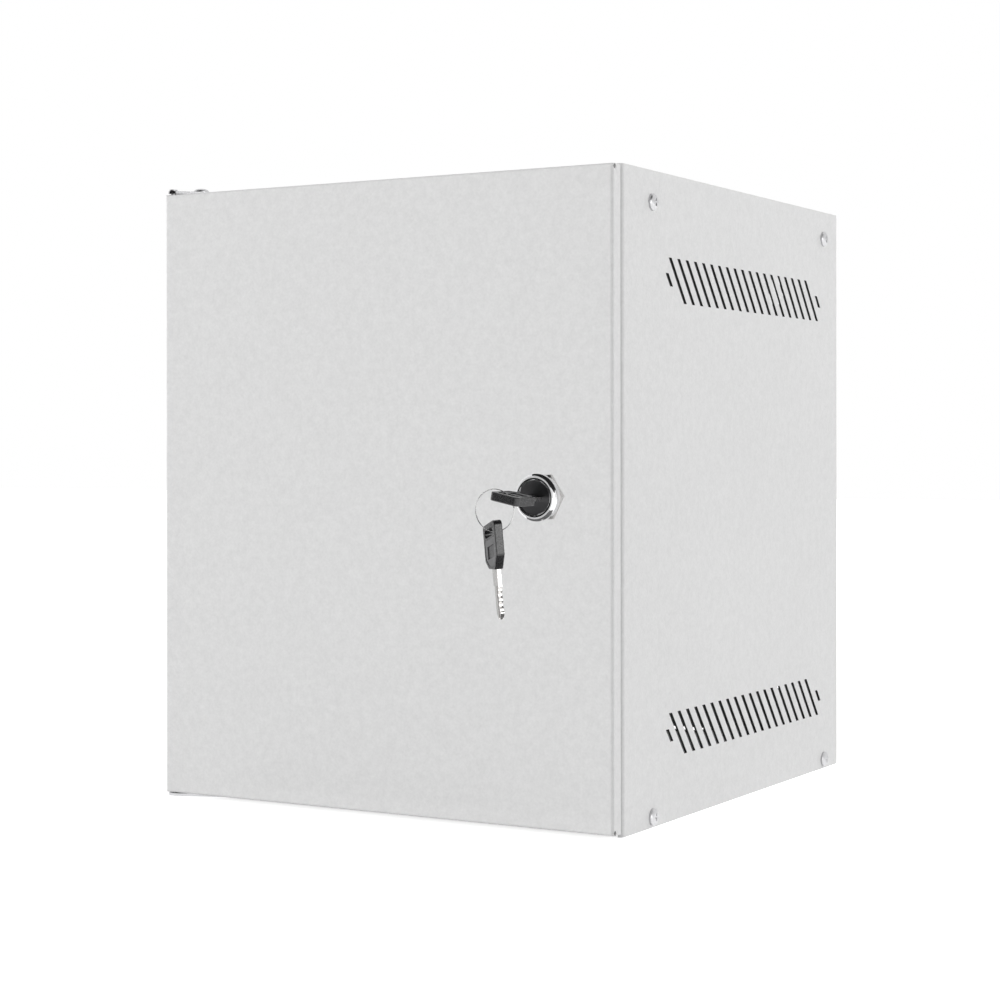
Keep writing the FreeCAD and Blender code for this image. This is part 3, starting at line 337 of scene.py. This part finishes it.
def filled_plate(outline, hole, low, high, place):
    """A plate with a hole, between two levels of the local Z axis."""
    mesh_edit = bmesh.new()
    edges = []
    for loop in (outline, hole):
        corners = [mesh_edit.verts.new((x, y, high)) for x, y in loop]
        edges += [mesh_edit.edges.new((corners[i - 1], corners[i])) for i in range(len(corners))]
    bmesh.ops.triangle_fill(mesh_edit, use_beauty=True, edges=edges)
    bmesh.ops.recalc_face_normals(mesh_edit, faces=mesh_edit.faces)
    skirt = bmesh.ops.extrude_face_region(mesh_edit, geom=list(mesh_edit.faces))["geom"]
    walls = [item for item in skirt if isinstance(item, bmesh.types.BMVert)]
    bmesh.ops.translate(mesh_edit, verts=walls, vec=(0.0, 0.0, low - high))
    bmesh.ops.transform(mesh_edit, matrix=place, verts=mesh_edit.verts)
    return mesh_edit


# ----------------------------------------------------------------- lock pieces
def on_door():
    """The frame of the lock: its origin on the door's face, +Z out of the door."""
    return Matrix.Translation((lock_x, door_face_y, lock_z)) @ Matrix.Rotation(math.pi / 2, 4, "X")


def bezel():
    """Domed bezel on a threaded barrel, in place of the plainer solid."""
    rim_h = 3.1 * MM
    dome_rise = 0.35 * MM
    lip = 0.9 * MM
    edge = 0.12 * MM
    mouth_r = plug_r + 0.18 * MM
    bore_r = 6.58 * MM
    barrel_r = 9.0 * MM
    root_r = barrel_r - 0.45 * MM
    pitch = 1.0 * MM
    thread_end, shank_start = -2.0 * MM, -1.5 * MM
    mouth_floor = plug_front - 1.48 * MM
    lip_r = mouth_r + lip
    profile = [(bore_r, barrel_rear)]
    turns = int((thread_end - barrel_rear) / pitch)
    for turn in range(turns):
        start = barrel_rear + turn * pitch
        profile += [(root_r, start), (barrel_r, start + pitch / 2)]
    profile += [(root_r, barrel_rear + turns * pitch), (barrel_r, shank_start),
                (barrel_r, collar_h), (bezel_r - edge, collar_h), (bezel_r, collar_h + edge)]
    profile += arched((bezel_r, collar_h + rim_h), (lip_r, bezel_front), dome_rise)
    profile += [(lip_r, bezel_front), (mouth_r + edge, bezel_front), (mouth_r, bezel_front - edge),
                (mouth_r, mouth_floor), (bore_r, mouth_floor)]
    piece = finish_piece("lock_bezel", lathe(profile, on_door()),
                         "chrome_bezel", "door")
    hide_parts("lock_housing")
    return piece


def plug_rim():
    """The bright turned edge of the plug's face."""
    wire = 0.14 * MM
    centre_r, height = plug_r - 0.12 * MM, plug_front - 0.04 * MM
    sides = 10
    corners = [2 * math.pi * step / sides for step in range(sides)]
    profile = [(centre_r + wire * math.cos(a), height + wire * math.sin(a)) for a in corners]
    return finish_piece("plug_rim", lathe(profile, on_door()),
                        "bright_edge", "lock_core")


# ------------------------------------------------------------------ key pieces
# Angles in degrees. In a key's own frame the neck is at y = 0 and the bow runs to -Y.
KEY_ROLL = -10.0
BOW_WIDTH = 18.0 * MM
BOW_SKEW = 4.0 * MM
FIELD_HALF = 7.35 * MM
FIELD_NECK_HALF = 3.55 * MM
FIELD_NECK_Y = -1.45 * MM
FIELD_SHOULDER_Y = -6.05 * MM
FIELD_END_Y = -15.25 * MM
FIELD_LOW = 1.80 * MM
FIELD_HIGH = 1.93 * MM
BADGE_HALF = 4.95 * MM
BADGE_LOW_Y = -11.85 * MM
BADGE_HIGH_Y = -5.55 * MM
RIB_COUNT = 8
RIB_PITCH = 1.0 * MM
RIB_START = 0.95 * MM
RIB_WIDTH = 0.4 * MM
RIB_RUN = 0.85 * MM
SPARE_YAW = -41.0
SPARE_LEAN = 5.0
SPARE_LEAN_YAW = 30.5
SPARE_HOOK = (3.0 * MM, -22.2167 * MM, 0.0)
SPARE_RISE = 3.6 * MM


def skewed(x, y):
    """A point of the bow, moved along it with the slant of its end."""
    return (x, y - BOW_SKEW * x / BOW_WIDTH)


def in_lock():
    """The frame of the key in the lock: blade along +Y, faces at +-Z."""
    roll = Matrix.Rotation(math.radians(KEY_ROLL), 4, Vector((0.0, -1.0, 0.0)))
    return Matrix.Translation((lock_x, neck_y, lock_z)) @ roll


def on_ring():
    """The frame of the spare key, hanging from the ring's lowest wire."""
    wire = Vector(joint_named("spare_swing")["pos_m"])
    across = Matrix.Rotation(math.radians(SPARE_YAW), 3, "Z") @ Vector((1.0, 0.0, 0.0))
    down = Vector((0.0, 0.0, -1.0))
    turn = Matrix((across, down, across.cross(down))).transposed().to_4x4()
    lean_axis = Matrix.Rotation(math.radians(SPARE_LEAN_YAW), 3, "Z") @ Vector((0.0, 1.0, 0.0))
    from_hook = Matrix.Translation(-Vector(SPARE_HOOK))
    hung = Matrix.Translation((0.0, 0.0, SPARE_RISE)) @ turn @ from_hook
    lean = Matrix.Rotation(math.radians(-SPARE_LEAN), 4, lean_axis)
    return Matrix.Translation(wire) @ lean @ hung


def joint_named(name):
    """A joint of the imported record."""
    joints = frame["record"]["behaviour"]["joints"]
    return next(joint for joint in joints if joint["name"] == name)


def rib_teeth(x, numbers):
    """Corners of the teeth along one side of the field, from one end to the other."""
    out = math.copysign(RIB_RUN, x)
    corners = []
    for number in numbers:
        low = skewed(x, FIELD_END_Y + RIB_START + number * RIB_PITCH)[1]
        tooth = [(x, low), (x + out, low), (x + out, low + RIB_WIDTH), (x, low + RIB_WIDTH)]
        corners += tooth if x < 0 else tooth[::-1]
    return corners


def bow_field(name, place, body):
    """The grained inlay in one face of a bow, toothed along both sides."""
    outline = [(-FIELD_NECK_HALF, FIELD_NECK_Y), (FIELD_NECK_HALF, FIELD_NECK_Y),
               skewed(FIELD_HALF, FIELD_SHOULDER_Y)]
    outline += rib_teeth(FIELD_HALF, reversed(range(RIB_COUNT)))
    outline += [skewed(FIELD_HALF, FIELD_END_Y), skewed(-FIELD_HALF, FIELD_END_Y)]
    outline += rib_teeth(-FIELD_HALF, range(RIB_COUNT))
    outline += [skewed(-FIELD_HALF, FIELD_SHOULDER_Y)]
    badge = [skewed(-BADGE_HALF, BADGE_LOW_Y), skewed(BADGE_HALF, BADGE_LOW_Y),
             skewed(BADGE_HALF, BADGE_HIGH_Y), skewed(-BADGE_HALF, BADGE_HIGH_Y)]
    plate = filled_plate(outline, badge, FIELD_LOW, FIELD_HIGH, place)
    return finish_piece(name, plate, "key_field", body)


def bow_fields():
    """The inlays in both faces of both bows."""
    flipped = Matrix.Scale(-1.0, 4, Vector((0.0, 0.0, 1.0)))
    return [bow_field("key_field_upper", in_lock(), "key"),
            bow_field("key_field_lower", in_lock() @ flipped, "key"),
            bow_field("spare_field_near", on_ring(), "spare_key"),
            bow_field("spare_field_far", on_ring() @ flipped, "spare_key")]


def split_ring():
    """A key ring of two turns of round wire, crossing over once."""
    low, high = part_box("key_ring")
    middle = (low + high) / 2
    thick = 0.4 * MM
    ring_r = (high[2] - low[2]) / 2 - thick
    wire = thick / 2
    axis = ring_axis()
    side = Vector((0.0, 0.0, 1.0)).cross(axis).normalized()
    crossing = math.radians(16)
    steps = 160
    curve = bpy.data.curves.new("split_ring", "CURVE")
    curve.dimensions = "3D"
    curve.bevel_depth = wire
    curve.bevel_resolution = 4
    spline = curve.splines.new("POLY")
    spline.points.add(steps)
    for step, point in enumerate(spline.points):
        angle = crossing + (4 * math.pi - 2 * crossing) * step / steps
        ahead = (angle - 2 * math.pi) / crossing
        shift = wire * max(-1.0, min(1.0, ahead))
        spoke = side * math.cos(angle) + Vector((0, 0, math.sin(angle)))
        place = middle + ring_r * spoke + axis * shift
        point.co = (*place, 1.0)
    ring = bpy.data.objects.new("split_ring", curve)
    bpy.context.collection.objects.link(ring)
    curve.use_fill_caps = True
    curve.materials.append(MATERIALS["ring_steel"])
    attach(ring, "ring")
    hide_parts("key_ring")
    return ring


def ring_axis():
    """The ring's own axis: square to the axis that the spare key swings on."""
    along = Vector(joint_named("spare_swing")["axis"])
    return Vector((0.0, 0.0, 1.0)).cross(along).normalized()


# ---------------------------------------------------------------------- stage
def floor():
    """A pale floor that glows to white where it is seen, so that no shadow shows on it."""
    bpy.ops.mesh.primitive_plane_add(size=FLOOR_SIZE, location=(0.0, 0.0, foot_z))
    plane = bpy.context.object
    plane.name = "floor"
    material, shader, add, join = new_material("floor_white")
    shader.inputs["Base Color"].default_value = FLOOR_WHITE
    shader.inputs["Roughness"].default_value = 0.9
    glow = add("ShaderNodeMath", {0: background_rays(add), 1: FLOOR_GLOW}, operation="MULTIPLY")
    shader.inputs["Emission Color"].default_value = WHITE
    join(glow.outputs[0], shader.inputs["Emission Strength"])
    plane.data.materials.append(material)


def background_rays(add):
    """1 for the rays that show the background: from the camera, off gloss and through glass."""
    rays = add("ShaderNodeLightPath").outputs
    seen = rays["Is Camera Ray"]
    for kind in ("Is Glossy Ray", "Is Transmission Ray"):
        seen = add("ShaderNodeMath", {0: seen, 1: rays[kind]}, operation="MAXIMUM").outputs[0]
    return seen


def world():
    """White where it is seen, and dimmer as light on the object."""
    sky = bpy.data.worlds.new("studio")
    sky.use_nodes = True
    tree = sky.node_tree
    background = tree.nodes["Background"]
    add, join = node_tools(tree)
    levels = {"Value": background_rays(add), "To Min": AMBIENT, "To Max": 1.0}
    strength = add("ShaderNodeMapRange", levels).outputs["Result"]
    join(strength, background.inputs["Strength"])
    background.inputs["Color"].default_value = WHITE
    bpy.context.scene.world = sky


def aimed(place, aim):
    """The rotation that turns an object's -Z from its place to the aim."""
    return (Vector(aim) - Vector(place)).to_track_quat("-Z", "Y").to_euler()


def soft_lamp(name, place, aim, size, power, in_reflections=False):
    """A rectangular softbox, hidden from mirror reflections unless it is said."""
    lamp = bpy.data.lights.new(name, "AREA")
    lamp.shape = "RECTANGLE"
    lamp.size, lamp.size_y = size
    lamp.energy = power
    holder = bpy.data.objects.new(name, lamp)
    bpy.context.collection.objects.link(holder)
    holder.location = place
    holder.rotation_euler = aimed(place, aim)
    holder.visible_glossy = in_reflections


def lamps():
    """Far softboxes for the door, the side and the back, and a strip that lines glossy edges."""
    middle = (0.0, -0.15, 0.0)
    soft_lamp("front_softbox", (-5.0, -6.2, 1.0), middle, (3.4, 3.0), FRONT_POWER)
    soft_lamp("side_softbox", (5.0, 1.6, 1.2), middle, (2.6, 3.0), SIDE_POWER)
    soft_lamp("rear_softbox", (1.2, 5.6, 2.6), middle, (3.0, 3.0), REAR_POWER)
    soft_lamp("strip_softbox", (2.1, -1.2, 0.1), (0.1, -0.33, 0.0), (0.35, 1.1), STRIP_POWER,
              in_reflections=True)


def shadowless(*pieces):
    """Small pieces in front of the door that cast no shadow anywhere."""
    for piece in pieces:
        piece.visible_shadow = False
        piece.visible_diffuse = False


def card(name, place, aim, size, grey):
    """A dark or grey card that only shiny surfaces see, as a photographer shades chrome."""
    width, height = size
    bpy.ops.mesh.primitive_plane_add(size=1.0, location=place)
    plane = bpy.context.object
    plane.name = name
    plane.scale = (width, height, 1.0)
    plane.rotation_euler = aimed(place, aim)
    material, shader = new_material(name)[:2]
    shader.inputs["Base Color"].default_value = (grey, grey, grey, 1.0)
    shader.inputs["Roughness"].default_value = 1.0
    plane.data.materials.append(material)
    plane.visible_camera = False
    plane.visible_diffuse = False
    plane.visible_shadow = False
    plane.visible_transmission = False


def cards():
    """Dark cards before and above the lock, and a grey one under it."""
    lock = Vector((lock_x, door_face_y, lock_z))
    card("front_card", (-0.45, -1.95, 0.0), lock, (3.4, 1.7), CARD_BLACK)
    card("ceiling_card", (0.3, -0.95, 1.05), lock, (2.6, 2.0), CARD_BLACK)
    card("floor_card", (0.06, -0.41, foot_z + 0.01), (0.06, -0.41, 1.0), (0.32, 0.22), CARD_GREY)


def camera():
    """A long lens level with the upper half of the cabinet, to the right of the door."""
    lens = bpy.data.cameras.new("camera")
    lens.sensor_width = 36.0
    lens.lens = CAMERA_LENS
    lens.shift_x, lens.shift_y = CAMERA_SHIFT
    lens.clip_start = 0.01
    holder = bpy.data.objects.new("camera", lens)
    bpy.context.collection.objects.link(holder)
    holder.location = (CAMERA_X, case_front_y - CAMERA_TO_CASE, foot_z + CAMERA_RISE)
    holder.rotation_euler = (math.pi / 2, math.radians(CAMERA_ROLL), math.radians(CAMERA_AZIMUTH))
    bpy.context.scene.camera = holder


dress_cad_nodes()
proud = ("spare_key_bow", "spare_key_blade", "key_bow", "key_blade", "lock_collar", "lock_plug")
shadowless(bezel(), plug_rim(), split_ring(), *bow_fields(),
           *[frame["nodes"][name] for name in proud])
floor()
world()
lamps()
cards()
camera()
bpy.context.scene.view_settings.view_transform = "Standard"
